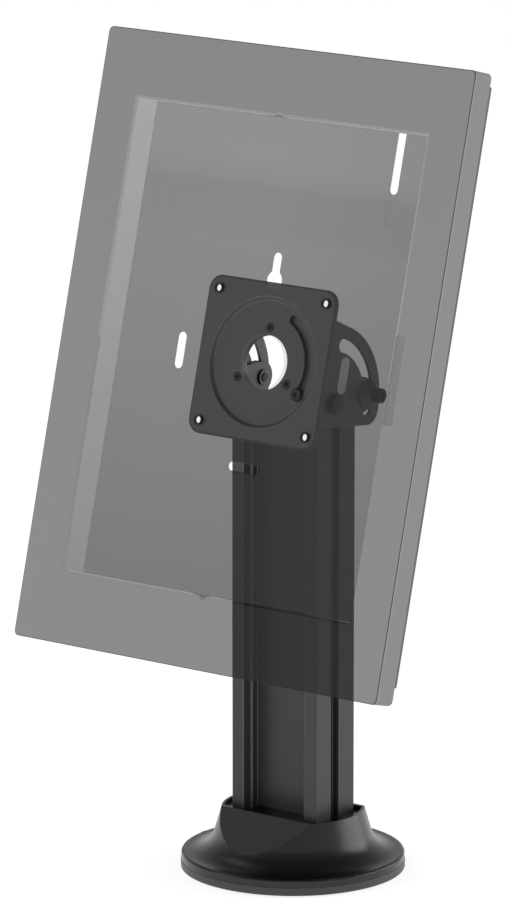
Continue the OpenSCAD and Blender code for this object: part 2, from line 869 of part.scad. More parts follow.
module vesa_plate() {
    color("#2f3032")
        on_plate()
            difference() {
                union() {
                    sheet_v(0, plate_t) rounded(plate_w, plate_w, plate_corner);
                    round_v()
                        polygon([
                            [0, plate_t / 2],
                            [dish_r, plate_t / 2],
                            [dish_r, plate_t],
                            [dish_r - dish_depth, floor_v],
                            [0, floor_v]
                        ]);
                }
                round_v()
                    polygon([
                        [0, -1],
                        [dish_r, -1],
                        [dish_r, 0],
                        [dish_r - dish_depth, dish_depth],
                        [0, dish_depth]
                    ]);
                sheet_v(-1, floor_v + 2) {
                    circle(bore_r);
                    arc_slot(turn_slot_r, turn_slot_w, stop_angle, stop_angle + turn_angle);
                    for (x = [-1, 1], u = [-1, 1])
                        translate([x * vesa_pitch / 2, u * vesa_pitch / 2]) circle(vesa_hole_r);
                }
                for (a = [90, 210, 330])
                    rotate([0, -a, 0]) translate([screw_circle_r, dish_depth, 0]) rotate([-90, 0, 0])
                        sunk_hole(swivel_head_r, swivel_screw_r, plate_t + 1);
            }
}

module swivel_ring() {
    color("#3c3d3f")
        on_plate()
            difference() {
                round_v()
                    polygon([
                        [bore_r, floor_v],
                        [barrel_r, floor_v],
                        [barrel_r, flange_v],
                        [flange_r, flange_v],
                        [flange_r, flange_back],
                        [bore_r + ring_chamfer, flange_back],
                        [bore_r, web_back]
                    ]);
                for (a = [90, 210, 330])
                    rotate([0, -a, 0]) translate([screw_circle_r, floor_v - 1, 0]) rotate([-90, 0, 0])
                        cylinder(r = swivel_screw_r + hole_gap, h = flange_v - floor_v + ring_screw_in);
            }
}

module swivel_screws() {
    color("#55565a")
        on_plate()
            for (a = [90, 210, 330])
                rotate([0, -a, 0]) translate([screw_circle_r, dish_depth, 0]) rotate([-90, 0, 0])
                    sunk_screw(swivel_head_r, swivel_screw_r, flange_v - dish_depth, small_socket);
}

module swivel_washer_front() {
    color("#dcdcd6")
        on_plate()
            sheet_v(floor_v, nylon_t)
                difference() {
                    circle(web_nylon_r);
                    circle(nylon_in);
                }
}

module swivel_washer_back() {
    color("#dcdcd6")
        on_plate()
            sheet_v(flange_v - nylon_t, nylon_t)
                difference() {
                    circle(flange_r - slide_gap);
                    circle(nylon_in);
                }
}

module vesa_screws() {
    color("#b9bbbf")
        on_plate()
            at_vesa()
                difference() {
                    round_v()
                        polygon([
                            [0, screw_recess - case_wall],
                            [vesa_screw_r, screw_recess - case_wall],
                            [vesa_screw_r, plate_t],
                            [1.9 * vesa_screw_r, plate_t],
                            [1.9 * vesa_screw_r, plate_t + screw_rim],
                            [1.4 * vesa_screw_r, plate_t + thin_nut],
                            [0, plate_t + thin_nut]
                        ]);
                    sheet_v(plate_t + socket_deep, thin_nut) hex(mid_socket);
                }
}

module vesa_inserts() {
    color("#2a2b2c")
        on_plate()
            at_vesa()
                sheet_v(-case_wall, case_wall)
                    difference() {
                        circle(insert_r);
                        circle(vesa_screw_r + hole_gap);
                    }
}

module case_outline(inset) {
    rounded(case_w - 2 * inset, case_h - 2 * inset, case_corner - inset / 2);
}

module back_outline(inset) {
    translate([0, (back_hi + back_lo) / 2])
        rounded(back_w - 2 * inset, back_hi - back_lo - 2 * inset, case_corner - inset / 2);
}

module window_outline(grow) {
    translate([window_x, window_up]) square([window_w + 2 * grow, window_h + 2 * grow], center = true);
}

module case_front() {
    color("#6f7072", 0.6)
        on_plate()
            difference() {
                union() {
                    sheet_v(-case_d, case_wall)
                        difference() {
                            case_outline(0);
                            window_outline(0);
                            for (s = [-1, 1])
                                translate([0, window_up + s * window_h / 2]) circle(notch_r);
                        }
                    sheet_v(-case_d + case_wall, case_side - case_wall)
                        difference() {
                            case_outline(0);
                            case_outline(case_wall);
                        }
                    sheet_v(-shell_rear - case_wall, case_wall)
                        difference() {
                            case_outline(0);
                            back_outline(-lip_gap);
                        }
                }
                translate([window_right + pocket_out, -case_d, window_up]) sheet_v(-1, 1 + pocket_in)
                    rounded(pocket_w, pocket_len, pocket_w / 4);
                for (x = [-1, 1])
                    translate([x * tab_x, case_screw_v, -case_h / 2])
                        sunk_hole(2 * case_screw_r, case_screw_r, case_screw_len);
            }
}

module case_liner() {
    color("#9b9c9e", 0.6)
        on_plate()
            sheet_v(-case_d + case_wall, case_d - 2 * case_wall)
                difference() {
                    window_outline(case_wall);
                    window_outline(0);
                }
}

module case_back() {
    color("#5f6062", 0.6)
        on_plate()
            difference() {
                union() {
                    sheet_v(-case_wall, case_wall) back_outline(0);
                    sheet_v(-tray_front, tray_front)
                        difference() {
                            back_outline(0);
                            back_outline(case_wall);
                        }
                    for (x = [-1, 1]) {
                        translate([x * tab_x - tab_w / 2, -tray_front, -case_h / 2 + case_wall])
                            cube([tab_w, back_lap - case_wall - lip_gap, back_low]);
                        translate([x * tab_x - tab_w / 2, -tray_front, back_hi - case_wall])
                            cube([tab_w, back_lap - case_wall - lip_gap, back_top]);
                    }
                }
                sheet_v(-case_wall - 1, case_wall + 2) {
                    circle(bore_r);
                    for (x = [-1, 1], u = [-1, 1])
                        translate([x * vesa_pitch / 2, u * vesa_pitch / 2]) circle(insert_r + hole_gap);
                    translate([0, key_up]) circle(key_r);
                    translate([0, key_up + (key_len - key_neck / 2) / 2])
                        obround(key_neck, key_len + key_neck / 2);
                    for (s = [-1, 1])
                        translate([s * (plate_w / 2 + slot_out), -slot_down]) obround(slot_w, slot_len);
                    translate([0, -low_slot_down]) rotate(90) obround(low_slot_w, low_slot_len);
                    translate([cable_slot_x, window_top + cable_slot_past - cable_slot_len / 2])
                        obround(cable_slot_w, cable_slot_len);
                }
                for (x = [-1, 1])
                    translate([x * tab_x, case_screw_v, -case_h / 2])
                        cylinder(r = case_screw_r + hole_gap, h = case_screw_len + 0.5);
            }
}

module tie_bar() {
    top = window_top + cable_slot_past - cable_slot_len - tie_gap;
    color("#333436")
        on_plate()
            translate([cable_slot_x, -case_wall, top - tie_len / 2]) rotate([90, 0, 0])
                difference() {
                    linear_extrude(tie_h) rounded(tie_w, tie_len, tie_w / 3);
                    cube([2 * tie_w, tie_len - 2 * tie_end, 2 * (tie_h - tie_sink)], center = true);
                }
}

module case_screws() {
    color("#77787a")
        on_plate()
            for (x = [-1, 1])
                translate([x * tab_x, case_screw_v, -case_h / 2])
                    sunk_screw(2 * case_screw_r, case_screw_r, case_screw_len, small_socket);
}

foot_pad();
base_plate();
base_cover();
cover_screws();
column_screws();
column();
saddle_bracket();
saddle_screws();
friction_washers();
pivot_bolts();
pivot_nuts();
lock_screw_right();
lock_screw_left();
lock_washers();
lock_nuts();
yoke();
stop_screw();
stop_nut();
vesa_plate();
swivel_ring();
swivel_screws();
swivel_washer_front();
swivel_washer_back();
vesa_screws();
vesa_inserts();
case_front();
case_liner();
case_back();
tie_bar();
case_screws();
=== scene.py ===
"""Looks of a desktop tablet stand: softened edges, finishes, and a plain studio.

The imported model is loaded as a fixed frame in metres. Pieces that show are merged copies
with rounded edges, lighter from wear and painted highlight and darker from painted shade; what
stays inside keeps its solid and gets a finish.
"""

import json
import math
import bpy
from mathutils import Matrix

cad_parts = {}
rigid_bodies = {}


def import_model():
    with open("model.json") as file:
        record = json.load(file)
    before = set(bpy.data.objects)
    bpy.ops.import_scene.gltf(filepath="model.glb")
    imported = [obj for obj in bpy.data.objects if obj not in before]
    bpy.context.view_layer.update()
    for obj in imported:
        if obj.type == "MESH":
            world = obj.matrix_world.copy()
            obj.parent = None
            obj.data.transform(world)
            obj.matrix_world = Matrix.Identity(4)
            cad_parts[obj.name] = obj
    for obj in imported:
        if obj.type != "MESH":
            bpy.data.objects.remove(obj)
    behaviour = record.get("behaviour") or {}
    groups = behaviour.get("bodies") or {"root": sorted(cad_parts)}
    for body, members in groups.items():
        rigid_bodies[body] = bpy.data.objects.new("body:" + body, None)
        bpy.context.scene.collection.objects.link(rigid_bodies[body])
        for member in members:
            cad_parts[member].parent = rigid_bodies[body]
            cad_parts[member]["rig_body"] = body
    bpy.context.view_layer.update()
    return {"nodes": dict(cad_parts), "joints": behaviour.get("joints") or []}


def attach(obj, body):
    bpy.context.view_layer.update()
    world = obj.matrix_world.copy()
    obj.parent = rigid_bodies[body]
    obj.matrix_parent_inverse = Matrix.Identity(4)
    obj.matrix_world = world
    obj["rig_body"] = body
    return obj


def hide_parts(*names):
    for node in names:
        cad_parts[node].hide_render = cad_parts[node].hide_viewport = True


bl_info = {
    "name": "Desktop Tablet Stand",
    "version": (1, 0, 0),
    "blender": (4, 5, 0),
    "location": "View3D > Sidebar > Tablet Stand",
    "description": "Dresses the packed tablet stand in its finishes and sets up its studio",
    "category": "Object",
}

from types import SimpleNamespace

import bmesh
import bpy
from mathutils import Matrix, Vector

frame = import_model()

MM = 0.001
ACROSS, BEHIND, UP = range(3)
BLACK, WHITE = (0, 0, 0), (1, 1, 1)
SWIVEL = next(joint for joint in frame["joints"] if joint["name"] == "swivel")
PLATE_AT = Vector(SWIVEL["pos_m"])
PLATE_BACK = Vector(SWIVEL["axis"]).normalized()
TILT = math.atan2(-PLATE_BACK.z, PLATE_BACK.y)

# The Mix node has sockets for every kind of value; these are the ones for colours.
MIX_FACTOR, MIX_FIRST, MIX_SECOND, MIX_RESULT = 0, 6, 7, 2

# Refraction of solid plastic, and of the shell that light goes straight through; and how many
# clear faces light may pass.
PLASTIC_IOR = 1.5
CLEAR_IOR = 1.001
CLEAR_BOUNCES = 32

# Rounding: how near points are welded, and the angles of flat, curved and sharp edges.
WELD = 0.002 * MM
FLAT = math.radians(0.3)
CURVED = math.radians(1)
SHARP = math.radians(32)
ROUNDING_STEPS = 2

# How far a piece's rearmost face is drawn off what it lies on, and how near to the rearmost
# point the others of that face are.
DRAW_GAP = 0.05 * MM
REAR_SLACK = 0.01 * MM

# Widths and depths on the case by which its plastic changes. HAIR and SAME_DEPTH are what a
# place may be off a plane and still count as on it. The glint is a painted highlight, a light line
# on the shell's outer wall, and SEEN_RIM the strip along the outline in which its inner faces show.
HAIR = 0.3 * MM
SAME_DEPTH = 0.1 * MM
EDGE_BAND = 3 * MM
WINDOW_EDGE = 1.2 * MM
LINING_WALL = 1 * MM
FLOOR_INSIDE = 0.5 * MM
FRONT_SKIN = 0.2 * MM
FACE_EDGE = 1 * MM
LIP_EDGE = 0.6 * MM
GLINT_FROM = 0.6 * MM
GLINT_TO = 1.4 * MM
SEEN_RIM = 7.3 * MM

# The window's notches: middle across, half width, and depth outside the window.
NOTCH_AT = -15 * MM
NOTCH_HALF = 6 * MM
NOTCH_DEPTH = 5 * MM

# The square over the plate where the tray is drawn clearer.
CLEAR_MIDDLE = (0.6 * MM, 0)
CLEAR_HALF = 43.9 * MM
CLEAR_CORNER = 8 * MM
CLEAR_FADE = 0.5 * MM

# Where the tray's painted reflection, lighter to the top left, starts to change and where it has
# changed, from the plate's middle; and the band darker at the tie bar's height.
FOOT_FADE = (65 * MM, -130 * MM)
RIGHT_FADE = (0, 110 * MM)
TOP_FADE = (95 * MM, 112 * MM)
TIE_BAR_AT = 83 * MM
TIE_BAR_FADE = (17 * MM, 12 * MM)

# How much more or less light some places of the case hold back, and how glossy its shell is.
# WINDOW_LIGHTER and GLINT_LIGHTER are painted highlights, SIDE_LIGHTER painted light that is
# lighter towards the top, and FOOT_DARKER, RIGHT_DARKER and TOP_LIGHTER a painted reflection,
# lighter to the top left.
WINDOW_LIGHTER = 0.06
GLINT_LIGHTER = 0.07
SIDE_LIGHTER = 0.14
TRAY_DARKER = 0.009
FOOT_DARKER = 0.06
RIGHT_DARKER = 0.025
TOP_LIGHTER = 0.03
TIE_BAR_DARKER = 0.008
RIM_LIGHTER = 0.04
TRIM_EDGE_DARKER = 0.05
SHELL_COAT = 0.45

# The studio: sensor in millimetres, table in metres, the room's glow overhead, and for each
# light its place, its aim, and its width and height.
SENSOR_WIDTH = 36
TABLE_HALF = 15
OVERHEAD = 0.12
LAMPS = {
    "key": ((2.0, 2.3, 0.75), (0, 0, 0.2), (2.6, 1.5)),
    "fill": ((-1.6, -2.1, 1.1), (0, 0, 0.25), (1.6, 1.6)),
    "top": ((-1.5, -0.2, 2.0), (0, 0, 0.03), (0.9, 0.9)),
}


def plate_coords(point):
    """A point of the stand as (across, behind the plate's front, up the screen), in metres."""
    local = Vector(point) - PLATE_AT
    up = Vector((0, math.sin(TILT), math.cos(TILT)))
    return local.x, local.dot(PLATE_BACK), local.dot(up)


class TabletStandFinishes(bpy.types.PropertyGroup):
    """Colours and surface values of the stand's finishes."""

    steel: bpy.props.FloatVectorProperty(
        name="Powder coat", description="Colour of the coated steel sheets",
        subtype="COLOR", size=3, min=0, max=1, default=(0.040, 0.040, 0.041))
    column: bpy.props.FloatVectorProperty(
        name="Column", description="Colour of the anodised extrusion",
        subtype="COLOR", size=3, min=0, max=1, default=(0.043, 0.043, 0.044))
    cover: bpy.props.FloatVectorProperty(
        name="Bell cover", description="Colour of the moulded bell cover",
        subtype="COLOR", size=3, min=0, max=1, default=(0.005, 0.005, 0.0053))
    case: bpy.props.FloatVectorProperty(
        name="Case", description="Colour of the see-through case",
        subtype="COLOR", size=3, min=0, max=1, default=(0.026, 0.026, 0.0267))
    case_cover: bpy.props.FloatProperty(
        name="Case opacity", description="Share of the light that the case's walls hold back",
        subtype="FACTOR", min=0, max=1, default=0.773)
    case_edge: bpy.props.FloatProperty(
        name="Case edge opacity", description="The same share on the case's outer edges",
        subtype="FACTOR", min=0, max=1, default=0.94)
    plate_veil: bpy.props.FloatProperty(
        name="Veil over the plate",
        description="The same share where the tray's floor lies on the plate",
        subtype="FACTOR", min=0, max=1, default=0.25)
    rubber: bpy.props.FloatVectorProperty(
        name="Rubber", description="Colour of the foot pad",
        subtype="COLOR", size=3, min=0, max=1, default=(0.018, 0.018, 0.018))
    zinc: bpy.props.FloatVectorProperty(
        name="Zinc", description="Colour of the bright screws",
        subtype="COLOR", size=3, min=0, max=1, default=(0.62, 0.62, 0.64))
    dark_zinc: bpy.props.FloatVectorProperty(
        name="Dark zinc", description="Colour of the blackened screws and nuts",
        subtype="COLOR", size=3, min=0, max=1, default=(0.030, 0.030, 0.031))
    nylon: bpy.props.FloatVectorProperty(
        name="Nylon", description="Colour of the sliding washers",
        subtype="COLOR", size=3, min=0, max=1, default=(0.70, 0.70, 0.66))


class TabletStandEdges(bpy.types.PropertyGroup):
    """Edge roundings of the pieces."""

    sheet: bpy.props.FloatProperty(
        name="Sheet edge", description="Rounding that the powder coat leaves on sheet edges",
        subtype="DISTANCE", unit="LENGTH", min=0.0001, max=0.001, default=0.00035)
    column: bpy.props.FloatProperty(
        name="Column edge", description="Rounding of the extrusion's sharp edges",
        subtype="DISTANCE", unit="LENGTH", min=0.0001, max=0.001, default=0.0004)
    cover: bpy.props.FloatProperty(
        name="Cover edge", description="Rounding of the bell cover's edges",
        subtype="DISTANCE", unit="LENGTH", min=0.00005, max=0.0005, default=0.0001)
    case: bpy.props.FloatProperty(
        name="Case edge", description="Rounding of the case's edges",
        subtype="DISTANCE", unit="LENGTH", min=0.0001, max=0.0007, default=0.0005)
    small: bpy.props.FloatProperty(
        name="Hardware edge", description="Rounding of screw heads, nuts and washers",
        subtype="DISTANCE", unit="LENGTH", min=0.00005, max=0.0004, default=0.00018)


class TabletStandStudio(bpy.types.PropertyGroup):
    """Camera, floor and lights."""

    turn: bpy.props.FloatProperty(
        name="Camera turn", description="Angle of the camera round the stand, from its front",
        subtype="ANGLE", unit="ROTATION", default=math.radians(37.76))
    rise: bpy.props.FloatProperty(
        name="Camera rise", description="Angle of the camera above the level",
        subtype="ANGLE", unit="ROTATION", default=math.radians(12.78))
    distance: bpy.props.FloatProperty(
        name="Camera distance", description="Distance from the camera to its aim",
        subtype="DISTANCE", unit="LENGTH", min=0.5, default=3.6718)
    aim: bpy.props.FloatVectorProperty(
        name="Camera aim", description="Point that the camera looks at",
        subtype="XYZ", unit="LENGTH", size=3, default=(0.00426, -0.04084, 0.24443))
    lens: bpy.props.FloatProperty(
        name="Lens", description="Focal length on a sensor of 36 mm",
        subtype="DISTANCE_CAMERA", unit="CAMERA", min=20, default=256.7)
    floor_glow: bpy.props.FloatProperty(
        name="Floor glow", description="Light that the pale table gives back by itself",
        min=0, max=2, default=0.74)
    sky: bpy.props.FloatProperty(
        name="Surroundings", description="Brightness of the room near the level",
        min=0, max=3, default=1.0)
    key: bpy.props.FloatProperty(
        name="Key light", description="Power of the broad soft light behind on the right",
        subtype="POWER", unit="POWER", min=0, default=26)
    fill: bpy.props.FloatProperty(
        name="Fill light", description="Power of the soft light in front on the left",
        subtype="POWER", unit="POWER", min=0, default=8)
    top: bpy.props.FloatProperty(
        name="Top light", description="Power of the soft light high on the left",
        subtype="POWER", unit="POWER", min=0, default=1.7)


class Wire:
    """One socket of a material's nodes, with arithmetic that adds Math nodes."""

    def __init__(self, tree, socket):
        self.tree = tree
        self.socket = socket

    def _math(self, operation, *values):
        made = self.tree.nodes.new("ShaderNodeMath")
        made.operation = operation
        for place, value in enumerate(values):
            if isinstance(value, Wire):
                self.tree.links.new(value.socket, made.inputs[place])
            else:
                made.inputs[place].default_value = value
        return Wire(self.tree, made.outputs[0])

    def __add__(self, other):
        return self._math("ADD", self, other)

    def __radd__(self, other):
        return self._math("ADD", other, self)

    def __sub__(self, other):
        return self._math("SUBTRACT", self, other)

    def __rsub__(self, other):
        return self._math("SUBTRACT", other, self)

    def __mul__(self, other):
        return self._math("MULTIPLY", self, other)

    def __rmul__(self, other):
        return self._math("MULTIPLY", other, self)

    def __truediv__(self, other):
        return self._math("DIVIDE", self, other)

    def __pow__(self, other):
        return self._math("POWER", self, other)

    def __abs__(self):
        return self._math("ABSOLUTE", self)

    def __gt__(self, other):
        return self._math("GREATER_THAN", self, other)

    def __lt__(self, other):
        return self._math("LESS_THAN", self, other)

    def __and__(self, other):
        return self._math("MINIMUM", self, other)

    def __or__(self, other):
        return self._math("MAXIMUM", self, other)


class Finish:
    """A material with one Principled shader, built node by node."""

    def __init__(self, name, **constants):
        self.material = bpy.data.materials.new(name)
        self.material.use_nodes = True
        self.tree = self.material.node_tree
        self.shader = self.tree.nodes["Principled BSDF"]
        self.feed(**constants)

    def node(self, kind, settings=None, values=None, out=0):
        """A node of any kind: its settings first, then its sockets' values or links."""
        made = self.tree.nodes.new(kind)
        for key, value in (settings or {}).items():
            setattr(made, key, value)
        for key, value in (values or {}).items():
            self._put(made.inputs[key], value)
        return Wire(self.tree, made.outputs[out])

    def _put(self, socket, value):
        if isinstance(value, Wire):
            self.tree.links.new(value.socket, socket)
        elif socket.type == "RGBA" and len(value) == 3:
            socket.default_value = (*value, 1)
        else:
            socket.default_value = value

    def feed(self, **sockets):
        """Values or links of the shader's own sockets; Base_Color names Base Color."""
        for key, value in sockets.items():
            self._put(self.shader.inputs[key.replace("_", " ")], value)

    def place(self, stretch):
        """Object coordinates, stretched by a factor on each axis."""
        coords = self.node("ShaderNodeTexCoord", out="Object")
        return self.node(
            "ShaderNodeMapping", {"vector_type": "POINT"}, {"Vector": coords, "Scale": stretch})

    def noise(self, scale, detail=2.0, rough=0.5, stretch=(1, 1, 1)):
        """Soft noise between 0 and 1, with about as many grains to the metre as its scale."""
        return self.node("ShaderNodeTexNoise", {"noise_dimensions": "3D"}, {
            "Vector": self.place(stretch), "Scale": scale, "Detail": detail, "Roughness": rough})

    def mix(self, mask, first, second):
        """A colour between two others."""
        return self.node(
            "ShaderNodeMix", {"data_type": "RGBA"},
            {MIX_FACTOR: mask, MIX_FIRST: first, MIX_SECOND: second}, out=MIX_RESULT)

    def drift(self, mask, colour, low, high):
        """A colour that wanders between two of its tones."""
        return self.mix(mask, tone(colour, low), tone(colour, high))

    def edge(self):
        """1 on the roundings along a piece's edges, 0 on its faces."""
        return self.node("ShaderNodeAttribute", {"attribute_name": "edge_wear"}, out="Fac")

    def bump(self, height, strength, distance):
        """Normals of a fine relief; the distance is its depth in metres."""
        return self.node(
            "ShaderNodeBump", None, {"Height": height, "Strength": strength, "Distance": distance})


def tone(colour, factor):
    """A colour made lighter or darker by a factor."""
    return tuple(min(1.0, part * factor) for part in colour)


def powder_coat(colour):
    """Satin black powder coat: a fine pebbled grain, cloudy sheen, edges lighter from wear and
    painted highlight.
    """
    coat = Finish("powder_coat", IOR=PLASTIC_IOR)
    cloud = coat.noise(45, detail=3)
    grain = coat.noise(1900, rough=0.6)
    # Patchy lighter edges: partly coat rubbed thin, partly a painted highlight.
    patches = coat.noise(260) * 1.6 - 0.25
    worn_and_highlit = coat.edge() * patches * 0.55
    body = coat.drift(cloud, colour, 0.8, 1.25)
    coat.feed(
        Base_Color=coat.mix(worn_and_highlit, body, tone(colour, 5)),
        Roughness=0.36 + cloud * 0.12 + grain * 0.05,
        Normal=coat.bump(grain, strength=0.22, distance=0.12 * MM))


def anodised(colour):
    """Dark anodised extrusion: fine drawing lines along its length, and a painted highlight on its
    edges.
    """
    skin = Finish("anodised_extrusion", IOR=PLASTIC_IOR, Specular_IOR_Level=0.3)
    lines = skin.noise(60, detail=3, rough=0.6, stretch=(14, 14, 0.25))
    cloud = skin.noise(18)
    body = skin.drift(cloud, colour, 0.85, 1.2)
    lined = skin.mix(lines * 0.35, body, tone(colour, 1.7))
    skin.feed(
        # The edges' lighter colour is a painted highlight.
        Base_Color=skin.mix(skin.edge() * 0.6, lined, tone(colour, 4)),
        Roughness=0.33 + lines * 0.14,
        Normal=skin.bump(lines, strength=0.10, distance=0.08 * MM))


def moulded_cover(colour):
    """Semi-gloss moulded plastic: faint orange peel, a few hairline scuffs, dull edges with painted
    shade.
    """
    skin = Finish("moulded_cover", IOR=PLASTIC_IOR)
    peel = skin.noise(420)
    cloud = skin.noise(26)
    scuff = skin.noise(300, rough=0.7, stretch=(1, 4, 0.4)) > 0.74
    body = skin.drift(cloud, colour, 0.85, 1.2)
    skin.feed(
        # Edges darker in colour: painted shade. Their higher roughness makes them dull.
        Base_Color=skin.mix(skin.edge(), body, tone(colour, 0.5)),
        Roughness=0.25 + cloud * 0.06 + scuff * 0.08 + skin.edge() * 0.5,
        Normal=skin.bump(peel, strength=0.05, distance=0.1 * MM))


def rubber(colour):
    """Matt rubber with a fine dusty tooth."""
    pad = Finish("foot_rubber", IOR=1.45)
    tooth = pad.noise(1500, detail=3, rough=0.7)
    dust = pad.noise(70, detail=3) * 0.5
    pad.feed(
        Base_Color=pad.mix(dust, colour, tone(colour, 2.2)),
        Roughness=0.75 + tooth * 0.2,
        Normal=pad.bump(tooth, strength=0.3, distance=0.2 * MM))


def plated(name, colour, gloss, edge_wear_and_shading):
    """Zinc plating: tiny crystals, tone drift; edges lighter by a factor above 1 (wear and painted
    highlight) and darker by one below 1 (painted shade).
    """
    skin = Finish(name, Metallic=1.0)
    patches = skin.noise(180)
    crystals = skin.noise(2600, rough=0.6)
    body = skin.drift(patches, colour, 0.8, 1.15)
    skin.feed(
        # Edge colour: above 1 wear and painted highlight, below 1 painted shade.
        Base_Color=skin.mix(skin.edge() * 0.8, body, tone(colour, edge_wear_and_shading)),
        Roughness=gloss + patches * 0.10 + crystals * 0.06,
        Normal=skin.bump(crystals, strength=0.12, distance=0.06 * MM))


def nylon(colour):
    """Natural nylon: milky, with a soft mould texture."""
    skin = Finish("milky_nylon", IOR=1.53)
    cloud = skin.noise(120)
    texture = skin.noise(1800)
    skin.feed(
        Base_Color=skin.drift(cloud, colour, 0.92, 1.05),
        Roughness=0.42 + cloud * 0.1,
        Normal=skin.bump(texture, strength=0.08, distance=0.1 * MM))


def finishes(scene):
    """The stand's finishes by name, made once."""
    if "powder_coat" not in bpy.data.materials:
        look = scene.tablet_stand_finishes
        powder_coat(look.steel)
        anodised(look.column)
        moulded_cover(look.cover)
        rubber(look.rubber)
        # Bright zinc edges lighter as wear and painted highlight; black zinc edges darker as
        # painted shade.
        plated("bright_zinc", look.zinc, gloss=0.22, edge_wear_and_shading=1.35)
        plated("black_zinc", look.dark_zinc, gloss=0.30, edge_wear_and_shading=0.25)
        nylon(look.nylon)
    return bpy.data.materials


def rising(value, low, high):
    """0 below low, 1 above high and even between; high below low turns it round."""
    return ((value - low) / (high - low) | 0) & 1


class CaseFinish(Finish):
    """Smoke-tinted plastic of the case, of which only the faces' front sides show."""

    def __init__(self, name, **constants):
        super().__init__(name, **constants)
        self.material.use_backface_culling = True
        self.material.surface_render_method = "BLENDED"
        self.front_side = 1 - self.node("ShaderNodeNewGeometry", out="Backfacing")
        self.density = 0.99 + self.noise(5, stretch=(1, 1, 0.35)) * 0.02
        self.feed(Normal=self.bump(self.noise(900), strength=0.04, distance=0.1 * MM))

    def measured(self):
        """Adds the shaded point's place, in metres: across the case, behind the plate's front
        and up the screen."""
        coords = self.node("ShaderNodeTexCoord", out="Object")
        moved = -(Matrix.Rotation(TILT, 3, "X") @ PLATE_AT)
        local = self.node("ShaderNodeMapping", {"vector_type": "POINT"}, {
            "Vector": coords, "Location": tuple(moved), "Rotation": (TILT, 0, 0)})
        self.across, self.behind, self.up = [
            self.node("ShaderNodeSeparateXYZ", None, {"Vector": local}, out=axis) for axis in "XYZ"]
        return self

    def outside(self, low, high):
        """Distance outside an upright rectangle given by two corners; negative inside it."""
        middle = [(first + last) / 2 for first, last in zip(low, high)]
        half = [(last - first) / 2 for first, last in zip(low, high)]
        return (abs(self.across - middle[0]) - half[0]) | (abs(self.up - middle[1]) - half[1])

    def outside_round(self, middle, half, radius):
        """Distance outside an upright square with round corners; never below minus the radius."""
        past_across = abs(self.across - middle[0]) - (half - radius) | 0
        past_up = abs(self.up - middle[1]) - (half - radius) | 0
        return (past_across ** 2 + past_up ** 2) ** 0.5 - radius

    def veiled(self, look, share, roughness=0.42):
        """Draws the plastic as one clear skin that holds back a share of the light. Of each wall
        only the face that a viewer meets first shows, so walls don't add up to black."""
        cloud = self.noise(14)
        self.feed(
            IOR=PLASTIC_IOR,
            Specular_IOR_Level=0.17,
            Base_Color=self.drift(cloud, look.case, 0.8, 1.2),
            Roughness=roughness + cloud * 0.08,
            Alpha=self.front_side * share * self.density)
        return self.material


def shell_plastic(case, look):
    """Front shell. Light goes straight through it and takes on its tint, and the lining and the
    tray aren't drawn behind it. It holds more light back on its outer edges; a painted highlight
    lightens the upper half of the rounding round its window. Its inner faces over the tray don't
    show."""
    skin = CaseFinish(
        "case_face", IOR=CLEAR_IOR, Roughness=0.0, Transmission_Weight=1.0,
        Coat_Roughness=0.4, Coat_IOR=PLASTIC_IOR).measured()
    rim = skin.outside(*case.outer)
    hole = skin.outside(*case.window)
    edge = skin.edge()

    past_skin = skin.behind > case.face + FRONT_SKIN
    inner = past_skin & (rim < -SEEN_RIM) & (hole > HAIR)
    near_face_or_lip = (skin.behind < case.face + FACE_EDGE) | (skin.behind > case.lip - LIP_EDGE)
    outline = edge * (rim > -EDGE_BAND) * near_face_or_lip
    # The glint: a painted highlight, a thin light line along the outer wall near the front.
    glint = ((skin.behind > case.face + GLINT_FROM) & (skin.behind < case.face + GLINT_TO)
             & (rim > -HAIR))
    by_window = hole < WINDOW_EDGE

    held = look.case_cover + outline * (look.case_edge - look.case_cover)
    # Painted highlights: the upper half of the window's rounding and the glint line hold back less
    # light.
    held = held - by_window * (skin.up > 0) * WINDOW_LIGHTER - glint * GLINT_LIGHTER
    through = 1 - held * skin.density
    skin.feed(
        Base_Color=skin.mix(through ** 2, BLACK, WHITE),
        Coat_Weight=(1 - edge * by_window) * SHELL_COAT,
        Alpha=skin.front_side * (1 - inner))
    return skin.material


def lining_plastic(case, look):
    """Window's lining: only its inner faces show, the side walls lighter towards the top as painted
    light.
    """
    skin = CaseFinish("case_lining").measured()
    low, high = case.window
    shown = skin.outside(low, high) < HAIR
    side_wall = (skin.across < low[0] + LINING_WALL) | (skin.across > high[0] - LINING_WALL)
    height = rising(skin.up, low[1], high[1])
    # Painted light: the side walls hold back less light towards the top.
    held = look.case_cover * (1.0 - side_wall * height * SIDE_LIGHTER)
    return skin.veiled(look, shown * held)


